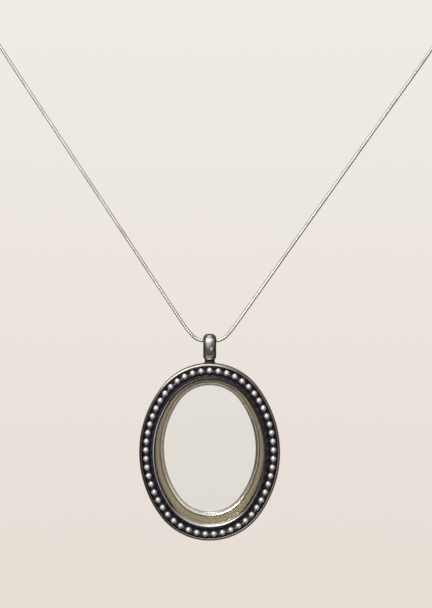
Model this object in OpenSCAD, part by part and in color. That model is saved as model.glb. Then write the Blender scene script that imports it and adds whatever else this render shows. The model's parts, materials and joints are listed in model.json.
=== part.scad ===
// Floating charm locket on a fine round chain.
// Millimetres, +Z up, the locket's face towards -Y.
// The origin is the nape: the middle of the clasp at the back of the neck.

/* [Locket] */
// Width of the locket across its rim
locket_w = 30; // [29:0.5:32]
// Height of the locket without its eyelet
locket_h = 37.6; // [37:0.1:40]
// Depth of the lid from its crest to the seam
lid_depth = 3.2; // [3.2:0.1:3.6]
// Depth of the case behind the seam
case_depth = 4.3; // [4.3:0.1:5]
// Width of the rim seen from the front
rim_w = 3.5; // [3.4:0.05:3.8]
// How far the back lip reaches in past the rim
back_lip_w = 1.5; // [1.3:0.1:2.2]

/* [Glass] */
// Thickness of the front and back glass
glass_t = 0.76; // [0.6:0.02:0.76]

/* [Beads] */
// Number of balls in the border
bead_count = 53; // [40:1:55]
// Diameter of each ball
bead_d = 1.36; // [1:0.02:1.4]

/* [Bail] */
// Width of the bail at its top
bail_w = 2.8; // [2.5:0.05:2.9]
// Drop from the chain to the middle of the locket
locket_drop = 23.5; // [23.5:0.1:25]

/* [Chain] */
// Diameter of the chain
chain_d = 0.8; // [0.6:0.05:0.8]
// Length of the clasp
clasp_l = 11; // [10:0.5:13]

/* [Hidden] */
$fn = 64;

steel = [0.62, 0.63, 0.65];
dark_steel = [0.2, 0.2, 0.23];
silver = [0.82, 0.81, 0.82];
clear_glass = [0.85, 0.92, 0.92, 0.35];
magnet_grey = [0.45, 0.45, 0.48];

// The oval is four arcs whose centres and joints lie on 3-4-5 triangles,
// so its sections meet on exact planes at every inset.
unit = (locket_h - locket_w) / 4;
side_c = 4 * unit;
end_c = 3 * unit;
side_r = locket_w / 2 + side_c;
end_r = locket_h / 2 - end_c;
side_half = atan2(3, 4);
end_half = atan2(4, 3);
ring_fn = 160;
wedge_reach = 12;
wedge_h = 12;

// Rim sections, as inset from the outline and depth behind the crest.
// They are drawn past the outline by the margin, and the bulge's arc trims them.
trim_margin = 0.3;
seam_gap = 0.1;
seam_y = lid_depth + seam_gap / 2;
case_front = lid_depth + seam_gap;
case_back = case_front + case_depth;
side_bulge = 6;
bulge_from_seam = 1.9;
lid_bulge_y = lid_depth - bulge_from_seam;
case_bulge_y = case_front + bulge_from_seam;
lip_y = 0.42;
lip_bevel_w = 0.2;
lip_bevel_y = 0.66;
groove_w = 1.45;
groove_y = 0.55;
groove_r = 0.95;
groove_in_w = 0.85;
groove_in_y = 0.8;
crest_w = rim_w - 0.4;
crest_r = 0.3;
crest_in_w = 0.2;
inner_edge_y = 0.6;
// The inner walls lean in towards the back
lid_wall_w = rim_w + 0.2;
case_wall_w = rim_w + 0.8;
glass_seat_w = rim_w - 0.8;
glass_seat_y = 0.7;
glass_play = 0.02;
glass_edge_play = 0.08;
lid_glass_seat_t = glass_t + 2 * glass_play;
back_round = 1.2;
back_round_w = 1.35;
overlap = 0.1;
// The glass rests on the flat part of the ledge, which then slopes to the back
ledge_t = 0.85;
ledge_flat = 0.25;
ledge_slope_y = 0.4;
ledge_y = case_back - ledge_t;
back_seat_y = ledge_y - glass_t - 2 * glass_play;
lip_chamfer = 0.15;
bead_play = 0.03;
bead_y = groove_y + groove_r - bead_play - bead_d / 2;

// Hinge at the seam on the side that is on the viewer's left
hinge_w = 0.65;
hinge_x = hinge_w - locket_w / 2;
knuckle_r = 0.6;
knuckle_gap = 0.08;
notch_r = knuckle_r + knuckle_gap;
pin_r = 0.28;
pin_bore_r = 0.32;
lid_knuckle_h = 2.6;
hinge_h = 6.2;
pin_short = 0.1;
pin_h = hinge_h - pin_short;
recess_y = 0.95;
recess_w = 0.7;
recess_end = 0.1;

// One magnet in each half, opposite the hinge
magnet_r = 0.8;
magnet_t = 1.2;
magnet_play = 0.04;
magnet_w = 2.1;
magnet_x = locket_w / 2 - magnet_w;

// Eyelet soldered to the top of the case
eyelet_r = 0.8;
eyelet_wire_r = 0.27;
eyelet_y = 4.2;
eyelet_rise = 0.58;
eyelet_z = locket_h / 2 + eyelet_rise;
foot_t = 0.94;
// Half width and height above the eyelet's middle, from the foot's bottom to its top
foot_outline = [[1.6, -1.58], [1.4, -0.78], [1.12, -0.4], [1.05, -0.06], [0.35, -0.06], [0, 0.02]];

// Bail, seen from the side: two circles joined by straight legs
bail_top_r = 0.75;
bail_top_z = -0.2;
bail_low_r = 0.4;
bail_low_z = eyelet_z + eyelet_r - locket_drop;
bail_wall = 0.42;
bail_low_wall = 0.32;
bail_edge = 0.55;
bail_edge_power = 8;
crown_power = 3.4;
hollow_share = 0.9;
// Each row: turn from the top towards the front, half width as a share of the full
// half width, crown of the band and thickness at its edges. The low rows turn about
// the low circle.
bail_rows = [
    [0, 1, 0.65, bail_wall],
    [18, 1, 0.65, bail_wall],
    [36, 1, 0.64, bail_wall],
    [54, 1, 0.62, bail_wall],
    [72, 1, 0.6, bail_wall],
    [84, 1, 0.58, bail_wall],
];
bail_low_rows = [
    [84, 1, 0.44, bail_wall],
    [98, 0.98, 0.36, 0.5],
    [111, 0.95, 0.28, 0.62],
    [122, 0.82, 0.18, 0.74],
    [132, 0.47, 0.1, 0.76],
    [142, 0.26, 0.03, 0.58],
    [155, 0.21, 0.01, bail_low_wall],
    [169, 0.2, 0.01, bail_low_wall],
    [180, 0.2, 0.01, bail_low_wall],
];
// Points round the band's section, as share of half width and outer or inner side
bail_section = [[-1, 1], [-0.94, 1], [-0.8, 1], [-0.55, 1], [-0.25, 1], [0.25, 1], [0.55, 1],
                [0.8, 1], [0.94, 1], [1, 1], [0.97, 0], [0.7, 0], [0.35, 0], [-0.35, 0],
                [-0.7, 0], [-0.97, 0]];

// Chain, from the left end in the clasp round the front to the right end
chain_low = [0, -104, -106];
chain_left = [
    [-3.2, 0, 0], [-5.6, 0, 0], [-9, -0.3, 0], [-18, -3, -0.6], [-29.8, -9.5, -1.4],
    [-41.1, -20, -2.6], [-50.9, -33.5, -4.3], [-57.8, -48, -6.4], [-60.6, -63, -9.4],
    [-60.4, -76, -13.8], [-58.1, -85, -20.6], [-53.6, -89.6, -29.8], [-47.2, -92, -40.2],
    [-33, -96, -61.5], [-19, -100, -82.4], [-8.2, -103.1, -98.6], [-5.5, -103.8, -102.6],
    [-4.1, -104, -104.4], [-3, -104, -105.4], [-1.6, -104, -105.92]];
chain_right = [
    [1.6, -104, -105.92], [3, -104, -105.4], [4.1, -104, -104.4], [5.5, -103.8, -102.6],
    [8.4, -103.1, -98.6], [20, -100, -82.4], [35, -96, -61.5], [50, -92, -40.6],
    [56.2, -89.6, -30.6], [60, -85, -21.3], [61.6, -76, -13.9], [61.2, -63, -9.4],
    [57.9, -48, -6.4], [50.9, -33.5, -4.3], [41.1, -20, -2.6], [29.8, -9.5, -1.4],
    [18, -3, -0.6], [9, -0.3, 0], [5.6, 0, 0], [3.2, 0, 0]];
chain_route = concat(chain_left, [chain_low], chain_right);
chain_sides = 8;
chain_upright = [0, -0.6, 0.8];

// Clasp, turned about X
clasp_r = 1.5;
clasp_end_r = 0.85;
clasp_end_l = 1.8;
clasp_bevel = 0.15;
// Each row: distance in from the shoulder, and how far below the full radius
clasp_round = [[0.3, 0.35], [0.8, 0.1], [1.6, 0]];
clasp_bore_r = 0.46;
clasp_bore_l = 2.4;

// A smooth curve through the route's points
function between(a, b, c, d, t) =
    ((2 * b) + (c - a) * t + (2 * a - 5 * b + 4 * c - d) * t * t
     + (3 * b - a - 3 * c + d) * t * t * t) / 2;
function route_point(route, i) =
    i < 0 ? 2 * route[0] - route[1]
    : i >= len(route) ? 2 * route[len(route) - 1] - route[len(route) - 2]
    : route[i];
function smooth_route(route, steps) = concat(
    [for (i = [0:len(route) - 2], k = [0:steps - 1])
        between(route_point(route, i - 1), route[i], route[i + 1], route_point(route, i + 2),
                k / steps)],
    [route[len(route) - 1]]);
function unit_of(v) = v / norm(v);
function heading(path, i) =
    unit_of(path[min(i + 1, len(path) - 1)] - path[max(i - 1, 0)]);

// Place on the oval at a distance along it, clockwise from the top
function oval_place(s, inset) = let(
    end_arc = (end_r - inset) * end_half * PI / 180,
    side_arc = (side_r - inset) * side_half * PI / 180,
    quarter = end_arc + side_arc,
    turn = floor(s / quarter),
    rest = s - turn * quarter,
    along = turn % 2 == 0 ? rest : quarter - rest,
    on_end = along < end_arc,
    end_turn = along / (end_r - inset) * 180 / PI,
    side_turn = side_half - (along - end_arc) / (side_r - inset) * 180 / PI,
    x = on_end ? (end_r - inset) * sin(end_turn) : (side_r - inset) * cos(side_turn) - side_c,
    z = on_end ? end_c + (end_r - inset) * cos(end_turn) : (side_r - inset) * sin(side_turn))
    [turn < 2 ? x : -x, turn == 0 || turn == 3 ? z : -z];
function oval_length(inset) =
    4 * ((end_r - inset) * end_half + (side_r - inset) * side_half) * PI / 180;

// Moves a piece drawn about the middle of the oval, at the crest, to where the locket hangs
module hung() {
    translate([0, chain_low.y - eyelet_y, chain_low.z - locket_drop]) children();
}

module arc_wedge(apex, low, high) {
    translate([0, 0, -wedge_h])
        linear_extrude(2 * wedge_h)
            polygon([apex, apex + wedge_reach * low, apex + wedge_reach * high]);
}

module turned_arc(centre, radius) {
    translate([centre.x, centre.y, 0])
        rotate_extrude($fn = ring_fn)
            translate([radius, 0])
                mirror([1, 0])
                    children();
}

// A ring of the oval whose section is drawn as inset and minus depth
module oval_ring() {
    rotate([90, 0, 0])
        for (s = [-1, 1]) {
            intersection() {
                turned_arc([-s * side_c, 0], side_r) children();
                arc_wedge([-s * side_c, 0], [4 * s, -3], [4 * s, 3]);
            }
            intersection() {
                turned_arc([0, s * end_c], end_r) children();
                arc_wedge([0, s * end_c], [4, 3 * s], [-4, 3 * s]);
            }
        }
}

module arc_sector(apex, radius, low, high) {
    intersection() {
        translate(apex) circle(radius, $fn = ring_fn);
        polygon([apex, apex + wedge_reach * low, apex + wedge_reach * high]);
    }
}

// A flat plate of the oval between two depths
module oval_plate(inset, front, back) {
    rotate([90, 0, 0])
        translate([0, 0, -back])
            linear_extrude(back - front)
                for (s = [-1, 1]) {
                    arc_sector([-s * side_c, 0], side_r - inset, [4 * s, -3], [4 * s, 3]);
                    arc_sector([0, s * end_c], end_r - inset, [4, 3 * s], [-4, 3 * s]);
                }
}

module lid_section() {
    difference() {
        intersection() {
            translate([side_bulge, -lid_bulge_y]) circle(side_bulge);
            union() {
                polygon([[-trim_margin, -lid_depth], [-trim_margin, -lip_bevel_y],
                         [lip_bevel_w, -lip_y], [groove_w - groove_in_w, -lip_y],
                         [groove_w - groove_in_w, -groove_in_y],
                         [groove_w + groove_in_w, -groove_in_y],
                         [groove_w + groove_r, -groove_y],
                         [crest_w - crest_in_w, -crest_r / 2], [crest_w + crest_in_w, -crest_r],
                         [rim_w, -inner_edge_y], [rim_w, -glass_seat_y - lid_glass_seat_t],
                         [lid_wall_w, -lid_depth]]);
                translate([crest_w, -crest_r]) circle(crest_r);
            }
        }
        translate([groove_w, -groove_y]) circle(groove_r);
        translate([glass_seat_w, -glass_seat_y - lid_glass_seat_t])
            square([rim_w, lid_glass_seat_t]);
    }
}

module case_section() {
    lip_w = rim_w + back_lip_w;
    round_y = case_back - back_round;
    intersection() {
        translate([side_bulge, -case_bulge_y]) circle(side_bulge);
        union() {
            polygon([[-trim_margin, -case_front], [lid_wall_w, -case_front],
                     [case_wall_w, -back_seat_y], [case_wall_w, -ledge_y],
                     [case_wall_w + ledge_flat, -ledge_y], [lip_w, -ledge_y - ledge_slope_y],
                     [lip_w, -case_back + lip_chamfer],
                     [lip_w - lip_chamfer, -case_back], [back_round_w + overlap, -case_back],
                     [back_round_w + overlap, -round_y], [-trim_margin, -round_y]]);
            intersection() {
                translate([back_round_w, overlap - round_y]) circle(back_round + overlap);
                translate([0, -case_back]) square([2 * back_round_w, 2 * back_round]);
            }
        }
    }
}

module hinge_rod(radius, from, to) {
    translate([hinge_x, seam_y, from]) cylinder(r = radius, h = to - from);
}

// The hinge's two outer lengths, grown at each end by a margin
module outer_lengths(radius, margin) {
    inner = lid_knuckle_h / 2 + knuckle_gap;
    for (s = [-1, 1])
        hinge_rod(radius, s < 0 ? -hinge_h / 2 - margin : inner - margin,
                  s < 0 ? -inner + margin : hinge_h / 2 + margin);
}

// Room at the seam for the hinge, along both halves
module hinge_recess() {
    length = hinge_h + 2 * recess_end;
    translate([-locket_w / 2 - 1, seam_y - recess_y, -length / 2])
        cube([1 + recess_w, 2 * recess_y, length]);
}

module magnet_pocket(face, deeper) {
    depth = magnet_t + 2 * magnet_play;
    translate([magnet_x, face, 0])
        rotate([deeper ? -90 : 90, 0, 0])
            cylinder(r = magnet_r + magnet_play, h = depth);
}

module magnet(face, deeper) {
    translate([magnet_x, face, 0])
        rotate([deeper ? -90 : 90, 0, 0])
            translate([0, 0, magnet_play])
                cylinder(r = magnet_r, h = magnet_t);
}

module lid_frame() {
    color(dark_steel)
    hung()
        difference() {
            union() {
                difference() {
                    oval_ring() lid_section();
                    outer_lengths(notch_r, knuckle_gap);
                    hinge_recess();
                }
                hinge_rod(knuckle_r, -lid_knuckle_h / 2, lid_knuckle_h / 2);
            }
            hinge_rod(pin_bore_r, -hinge_h, hinge_h);
            magnet_pocket(lid_depth, false);
        }
}

module eyelet() {
    translate([0, eyelet_y, eyelet_z])
        rotate([90, 0, 0])
            rotate_extrude()
                translate([eyelet_r, 0])
                    circle(eyelet_wire_r);
    translate([0, eyelet_y + foot_t / 2, 0])
        rotate([90, 0, 0])
            linear_extrude(foot_t)
                polygon(concat(
                    [for (row = foot_outline) [row[0], eyelet_z + row[1]]],
                    [for (i = [len(foot_outline) - 2:-1:0])
                        [-foot_outline[i][0], eyelet_z + foot_outline[i][1]]]));
}

module back_case() {
    color(steel)
    hung()
        difference() {
            union() {
                difference() {
                    oval_ring() case_section();
                    hinge_rod(notch_r, -lid_knuckle_h / 2 - knuckle_gap,
                              lid_knuckle_h / 2 + knuckle_gap);
                    hinge_recess();
                }
                outer_lengths(knuckle_r, 0);
                eyelet();
            }
            hinge_rod(pin_bore_r, -hinge_h, hinge_h);
            magnet_pocket(case_front, true);
        }
}

module lid_glass() {
    front = glass_seat_y + glass_play;
    color(clear_glass)
    hung() oval_plate(glass_seat_w + glass_edge_play, front, front + glass_t);
}

module back_glass() {
    back = ledge_y - glass_play;
    color(clear_glass)
    hung() oval_plate(case_wall_w + glass_edge_play, back - glass_t, back);
}

module lid_magnet() {
    color(magnet_grey)
    hung() magnet(lid_depth, false);
}

module case_magnet() {
    color(magnet_grey)
    hung() magnet(case_front, true);
}

module hinge_pin() {
    color(steel)
    hung() hinge_rod(pin_r, -pin_h / 2, pin_h / 2);
}

module bead_border() {
    pitch = oval_length(groove_w) / bead_count;
    color(silver)
    hung()
        for (i = [0:bead_count - 1]) {
            place = oval_place(i * pitch, groove_w);
            translate([place.x, bead_y, place.y]) sphere(bead_d / 2, $fn = 48);
        }
}

// Height of the band above its path at a share of its half width
function bail_height(row, share, outer) =
    let(dome = 1 - pow(abs(share), crown_power),
        rounding = sqrt(1 - pow(abs(share), bail_edge_power)))
    outer == 1 ? row[3] * (bail_edge + (1 - bail_edge) * rounding) + row[2] * dome
    : hollow_share * row[2] * dome;

// One closed section of the bail, front side first, mirrored for the back
function bail_ring(row, low, back) = let(
    turn = row[0],
    out = [0, (back ? 1 : -1) * sin(turn), cos(turn)],
    centre = [0, 0, low ? bail_low_z : bail_top_z],
    radius = low ? bail_low_r : bail_top_r,
    half = row[1] * bail_w / 2)
    [for (p = bail_section)
        chain_low + centre + [p[0] * half, 0, 0] + (radius + bail_height(row, p[0], p[1])) * out];

module bail() {
    tops = len(bail_rows);
    lows = len(bail_low_rows);
    rings = concat(
        [for (i = [0:tops - 1]) bail_ring(bail_rows[i], false, false)],
        [for (i = [0:lows - 1]) bail_ring(bail_low_rows[i], true, false)],
        [for (i = [lows - 2:-1:0]) bail_ring(bail_low_rows[i], true, true)],
        [for (i = [tops - 1:-1:1]) bail_ring(bail_rows[i], false, true)]);
    n = len(bail_section);
    count = len(rings);
    color(steel)
    polyhedron(
        points = [for (r = rings) each r],
        faces = [for (j = [0:count - 1], k = [0:n - 1])
            let(a = j * n, b = (j + 1) % count * n, m = (k + 1) % n)
            each [[a + k, a + m, b + m], [a + k, b + m, b + k]]]);
}

module tube(path, radius, sides) {
    rings = [for (i = [0:len(path) - 1]) let(
        ahead = heading(path, i),
        across = unit_of(cross(chain_upright, ahead)),
        up = cross(ahead, across))
        [for (k = [0:sides - 1]) let(turn = 360 * k / sides)
            path[i] + radius * (cos(turn) * across + sin(turn) * up)]];
    last = (len(path) - 1) * sides;
    polyhedron(
        points = [for (r = rings) each r],
        faces = concat(
            [for (j = [0:len(path) - 2], k = [0:sides - 1])
                let(a = j * sides, b = a + sides, m = (k + 1) % sides)
                each [[a + k, b + k, b + m], [a + k, b + m, a + m]]],
            [[for (k = [0:sides - 1]) k]],
            [[for (k = [sides - 1:-1:0]) last + k]]));
}

module chain() {
    color(silver)
    tube(smooth_route(chain_route, 2), chain_d / 2, chain_sides);
}

module clasp() {
    half = clasp_l / 2;
    shoulder = half - clasp_end_l;
    color(silver)
    rotate([0, 90, 0])
        difference() {
            rotate_extrude()
                polygon(concat(
                    [[0, -half], [clasp_end_r - clasp_bevel, -half],
                     [clasp_end_r, clasp_bevel - half], [clasp_end_r, -shoulder]],
                    [for (row = clasp_round) [clasp_r - row[1], row[0] - shoulder]],
                    [for (i = [len(clasp_round) - 1:-1:0])
                        [clasp_r - clasp_round[i][1], shoulder - clasp_round[i][0]]],
                    [[clasp_end_r, shoulder], [clasp_end_r, half - clasp_bevel],
                     [clasp_end_r - clasp_bevel, half], [0, half]]));
            for (s = [0, 1])
                mirror([0, 0, s])
                    translate([0, 0, half - clasp_bore_l])
                        cylinder(r = clasp_bore_r, h = clasp_bore_l + 1);
        }
}

chain();
clasp();
bail();
back_case();
back_glass();
case_magnet();
hinge_pin();
lid_frame();
lid_glass();
lid_magnet();
bead_border();
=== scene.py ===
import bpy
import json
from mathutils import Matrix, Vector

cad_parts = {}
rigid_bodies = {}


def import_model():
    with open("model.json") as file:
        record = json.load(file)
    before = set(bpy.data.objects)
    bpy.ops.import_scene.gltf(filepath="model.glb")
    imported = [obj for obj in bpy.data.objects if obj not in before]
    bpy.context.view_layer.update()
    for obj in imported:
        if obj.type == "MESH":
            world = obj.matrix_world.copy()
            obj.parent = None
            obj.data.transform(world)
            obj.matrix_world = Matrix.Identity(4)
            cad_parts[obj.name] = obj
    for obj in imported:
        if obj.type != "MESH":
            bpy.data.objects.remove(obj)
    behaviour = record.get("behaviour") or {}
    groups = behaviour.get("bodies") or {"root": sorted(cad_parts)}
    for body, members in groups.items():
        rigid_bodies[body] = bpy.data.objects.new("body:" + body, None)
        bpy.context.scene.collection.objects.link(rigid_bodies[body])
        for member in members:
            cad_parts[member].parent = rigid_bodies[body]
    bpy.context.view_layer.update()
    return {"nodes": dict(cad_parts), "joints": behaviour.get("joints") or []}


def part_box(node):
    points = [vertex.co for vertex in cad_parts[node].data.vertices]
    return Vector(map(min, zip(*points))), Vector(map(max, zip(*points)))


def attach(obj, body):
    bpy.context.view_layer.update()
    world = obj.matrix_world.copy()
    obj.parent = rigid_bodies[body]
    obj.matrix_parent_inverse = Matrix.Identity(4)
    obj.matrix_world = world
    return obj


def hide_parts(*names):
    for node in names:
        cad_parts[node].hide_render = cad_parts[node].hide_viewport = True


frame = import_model()

import json
import math

import bmesh
import bpy
from bpy.props import FloatProperty, FloatVectorProperty, IntProperty, PointerProperty
from mathutils import Matrix, Vector

bl_info = {
    "name": "Floating charm locket",
    "version": (1, 0, 0),
    "blender": (4, 5, 0),
    "location": "3D View > Sidebar > Locket",
    "description": "Builds an oval locket on a snake chain, with its stage, lights and camera",
    "category": "Add Mesh",
}

# Lengths in the shapes below are millimetres; a finished mesh is scaled to metres.
MM = 0.001
MERGE_REACH = 0.0004
ROUND_STEPS = 64
ORIGIN = Vector((0, 0, 0))
X_AXIS, Y_AXIS, Z_AXIS = Vector((1, 0, 0)), Vector((0, 1, 0)), Vector((0, 0, 1))

# The oval is four arcs whose centres and joints lie on 3-4-5 triangles.
OVAL_WIDTH = 30.0
OVAL_HEIGHT = 37.6
UNIT = (OVAL_HEIGHT - OVAL_WIDTH) / 4
SIDE_CENTRE = 4 * UNIT
END_CENTRE = 3 * UNIT
SIDE_RADIUS = OVAL_WIDTH / 2 + SIDE_CENTRE
END_RADIUS = OVAL_HEIGHT / 2 - END_CENTRE
END_HALF_ANGLE = math.atan2(4, 3)
SIDE_HALF_ANGLE = math.atan2(3, 4)
END_STEPS_SHARE = 0.8

# Places in a rim's section are an inset from the outline and a depth behind the crest.
SEAM_FRONT, SEAM_MIDDLE, SEAM_BACK = 3.2, 3.25, 3.3
BULGE_RADIUS = 6.0
GROOVE_CENTRE = (1.45, 0.55)
GROOVE_RADIUS = 0.95
BALL_GAP = 0.03
# The limit of a zone of the section that goes on to its end
FAR = 99
ANYWHERE = (-FAR, FAR)

# The hinge: the radii of its lengths, of the room round them and of the room round the pin,
# and the recess for it at the seam
HINGE_INNER, HINGE_OUTER = 0.32, 0.6
HINGE_ROUNDING = 0.06
HINGE_ROOM, PIN_ROOM = 0.68, 0.33
HINGE_STEPS, ROOM_STEPS = 40, 48
RECESS_SIZE = Vector((2, 1.9, 7.2))
RECESS_INSET = 0.7


def joint_place(name):
    """Where a joint's axis is."""
    return Vector(next(j["pos_m"] for j in frame["joints"] if j["name"] == name)) / MM


LOCKET_MIDDLE = Vector((0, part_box("lid_frame")[0].y,
                        (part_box("lid_glass")[0].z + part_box("lid_glass")[1].z) / 2)) / MM
CHAIN_LOW = joint_place("bail_swing")
EYELET_MIDDLE = joint_place("locket_tilt")
HINGE_AXIS = joint_place("lid_hinge")

# The chain's middle line, from the left end in the clasp round the front to the right end
CHAIN_ROUTE = [
    (-3.2, 0, 0), (-5.6, 0, 0), (-9, -0.3, 0), (-18, -3, -0.6), (-29.8, -9.5, -1.4),
    (-41.1, -20, -2.6), (-50.9, -33.5, -4.3), (-57.8, -48, -6.4), (-60.6, -63, -9.4),
    (-60.4, -76, -13.8), (-58.1, -85, -20.6), (-53.6, -89.6, -29.8), (-47.2, -92, -40.2),
    (-33, -96, -61.5), (-19, -100, -82.4), (-8.2, -103.1, -98.6), (-5.5, -103.8, -102.6),
    (-4.1, -104, -104.4), (-3, -104, -105.4), (-1.6, -104, -105.92), (0, -104, -106),
    (1.6, -104, -105.92), (3, -104, -105.4), (4.1, -104, -104.4), (5.5, -103.8, -102.6),
    (8.4, -103.1, -98.6), (20, -100, -82.4), (35, -96, -61.5), (50, -92, -40.6),
    (56.2, -89.6, -30.6), (60, -85, -21.3), (61.6, -76, -13.9), (61.2, -63, -9.4),
    (57.9, -48, -6.4), (50.9, -33.5, -4.3), (41.1, -20, -2.6), (29.8, -9.5, -1.4),
    (18, -3, -0.6), (9, -0.3, 0), (5.6, 0, 0), (3.2, 0, 0)]

# Half of the clasp's section: radius, and distance from the clasp's middle
CLASP_HALF = [
    (0, 3.1), (0.46, 3.1), (0.46, 5.42), (0.5, 5.5), (0.72, 5.5), (0.81, 5.46), (0.85, 5.36),
    (0.85, 3.74), (0.88, 3.68), (1.15, 3.4), (1.28, 3.16), (1.4, 2.9), (1.46, 2.55),
    (1.49, 2.2), (1.5, 1.9), (1.5, 1.66), (1.45, 1.6), (1.45, 1.5), (1.5, 1.44), (1.5, 0.1),
    (1.44, 0.03)]

# The bail: turn from the top towards the front, half width as a share of the full one,
# crown of the band and thickness of its wall. The low rows turn about the lower circle.
BAIL_TOP_ROWS = [(0, 1, 0.65, 0.42), (18, 1, 0.65, 0.42), (36, 1, 0.64, 0.42),
                 (54, 1, 0.62, 0.42), (72, 1, 0.6, 0.42), (84, 1, 0.58, 0.42)]
BAIL_LOW_ROWS = [(84, 1, 0.44, 0.42), (98, 0.98, 0.36, 0.5), (111, 0.95, 0.28, 0.62),
                 (122, 0.82, 0.18, 0.74), (132, 0.47, 0.1, 0.76), (142, 0.26, 0.03, 0.58),
                 (155, 0.21, 0.01, 0.32), (169, 0.2, 0.01, 0.32), (180, 0.2, 0.01, 0.32)]

# The eyelet's ring, and the foot under it as half widths and heights above its middle
EYELET_RADIUS = 0.8
EYELET_WIRE = 0.27
FOOT_OUTLINE = [(1.6, -1.58), (1.4, -0.78), (1.12, -0.4), (1.05, -0.06), (0.35, -0.06),
                (0, 0.02)]
FOOT_THICKNESS = 0.94
FOOT_ROUNDING = 0.1

# The studio, in metres: brightness by how far a direction turns to the front, the lights
# as name, place, width, height, power and colour, and the camera
STUDIO_FRONT = Vector((-0.12, -0.8, 0.58)).normalized()
STUDIO_TOP = Vector((-0.16, -0.3, 0.94)).normalized()
STUDIO_STOPS = (
    (0.0, (0.12, 0.1, 0.098)), (0.17, (0.15, 0.14, 0.14)), (0.5, (0.2, 0.195, 0.2)),
    (0.71, (0.28, 0.275, 0.28)), (0.85, (0.5, 0.495, 0.5)), (0.95, (0.78, 0.775, 0.78)),
    (1.0, (0.85, 0.85, 0.85)))
PAPER_BEHIND, PAPER_EDGE = (0.31, 0.285, 0.235), (0.08, 0.4)
TOP_GLOW, TOP_EDGE = (0.95, 0.93, 0.87), (0.9, 0.965)
STUDIO_STRENGTH = 2
LIGHTS = (
    ("key_light", (-0.3, -1.134, 0.12), 0.34, 0.34, 3.4, (1, 0.985, 0.96)),
    ("overhead_light", (-0.06, -0.1, 0.85), 0.5, 0.3, 1.6, (1, 0.99, 0.94)),
    ("left_strip", (-0.85, -0.3, -0.1), 0.12, 0.6, 0.25, (0.74, 0.86, 1)))
BACKDROP_OUTLINE = ((0, -0.85), (1.35, -0.85), (1.35, 1.2), (0, 1.2))
BACKDROP_ROUNDING = 0.7
BACKDROP_STEPS, BACKDROP_MERGE = 96, 0.0001
# Heights where the backdrop's paper is fully its low and its high tone, and these tones
# as shares of the chosen colour; the low tone is painted shade towards the floor
PAPER_HEIGHTS = (-0.7, 0.35)
PAPER_LOW, PAPER_HIGH = (0.94, 0.89, 0.91), (1.05, 1.07, 1.1)
CAMERA_PLACE = Vector((1.35, -346.15, -98)) * MM
CAMERA_LENS, CAMERA_SENSOR = 66.5, 36
CAMERA_RANGE = (0.01, 20)


class LocketSizes(bpy.types.PropertyGroup):
    """Sizes of the locket's pieces"""

    arc_steps: IntProperty(
        name="Arc steps", description="Sections along each long arc of the rim",
        default=72, min=24, max=120)
    ball_count: IntProperty(
        name="Balls", description="Number of balls in the border", default=53, min=40, max=55)
    ball_diameter: FloatProperty(
        name="Ball diameter", description="Diameter of each ball",
        default=0.00136, min=0.001, max=0.0014, precision=5, unit="LENGTH")
    bail_width: FloatProperty(
        name="Bail width", description="Width of the bail at its top",
        default=0.0028, min=0.0025, max=0.0029, precision=4, unit="LENGTH")
    chain_diameter: FloatProperty(
        name="Chain diameter", description="Outer diameter of the snake chain",
        default=0.00074, min=0.0006, max=0.0008, precision=5, unit="LENGTH")
    link_pitch: FloatProperty(
        name="Link pitch", description="Length of chain that each link takes",
        default=0.0005, min=0.0004, max=0.0008, precision=5, unit="LENGTH")


class LocketColours(bpy.types.PropertyGroup):
    """Colours of the locket's finishes"""

    dark_steel: FloatVectorProperty(
        name="Dark steel", description="The groove and the band inside it", subtype="COLOR",
        size=3, default=(0.05, 0.045, 0.048), min=0, max=1)
    rim_steel: FloatVectorProperty(
        name="Rim steel", description="The outside of both halves", subtype="COLOR", size=3,
        default=(0.15, 0.125, 0.115), min=0, max=1)
    # The olive tones of the walls and the ledge are painted reflections of warm surroundings in
    # shade.
    wall_steel: FloatVectorProperty(
        name="Wall steel", description="Inner walls of both halves", subtype="COLOR", size=3,
        default=(0.42, 0.352, 0.23), min=0, max=1)
    ledge_steel: FloatVectorProperty(
        name="Ledge steel", description="Ledge under the back glass", subtype="COLOR", size=3,
        default=(0.44, 0.385, 0.3), min=0, max=1)
    lip_steel: FloatVectorProperty(
        name="Lip steel", description="Crest of the lid", subtype="COLOR", size=3,
        default=(0.62, 0.6, 0.57), min=0, max=1)
    bail_steel: FloatVectorProperty(
        name="Bail steel", description="The bail", subtype="COLOR", size=3,
        default=(0.7, 0.68, 0.65), min=0, max=1)
    ball_silver: FloatVectorProperty(
        name="Ball silver", description="The balls of the border", subtype="COLOR", size=3,
        default=(0.78, 0.76, 0.78), min=0, max=1)
    chain_silver: FloatVectorProperty(
        name="Chain silver", description="Chain and clasp", subtype="COLOR", size=3,
        default=(0.74, 0.72, 0.66), min=0, max=1)
    backdrop: FloatVectorProperty(
        name="Backdrop", description="The pale floor and backdrop", subtype="COLOR", size=3,
        default=(0.83, 0.787, 0.708), min=0, max=1)


# Meshes

def close_up(bm):
    """Joins points that lie on each other and turns all faces outwards."""
    bmesh.ops.remove_doubles(bm, verts=bm.verts, dist=MERGE_REACH)
    bmesh.ops.recalc_face_normals(bm, faces=bm.faces)


def mesh_from(bm, name):
    mesh = bpy.data.meshes.new(name)
    bm.to_mesh(mesh)
    bm.free()
    return mesh


def add_object(name, data):
    item = bpy.data.objects.new(name, data)
    bpy.context.scene.collection.objects.link(item)
    return item


def smooth_mesh(bm, name, materials, sharp_angle):
    """A mesh in metres of a bmesh in millimetres, smooth up to an angle in degrees."""
    close_up(bm)
    bmesh.ops.scale(bm, vec=(MM, MM, MM), verts=bm.verts)
    mesh = mesh_from(bm, name)
    for material in materials:
        mesh.materials.append(material)
    mesh.shade_smooth()
    mesh.set_sharp_from_angle(angle=math.radians(sharp_angle))
    return mesh


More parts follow.
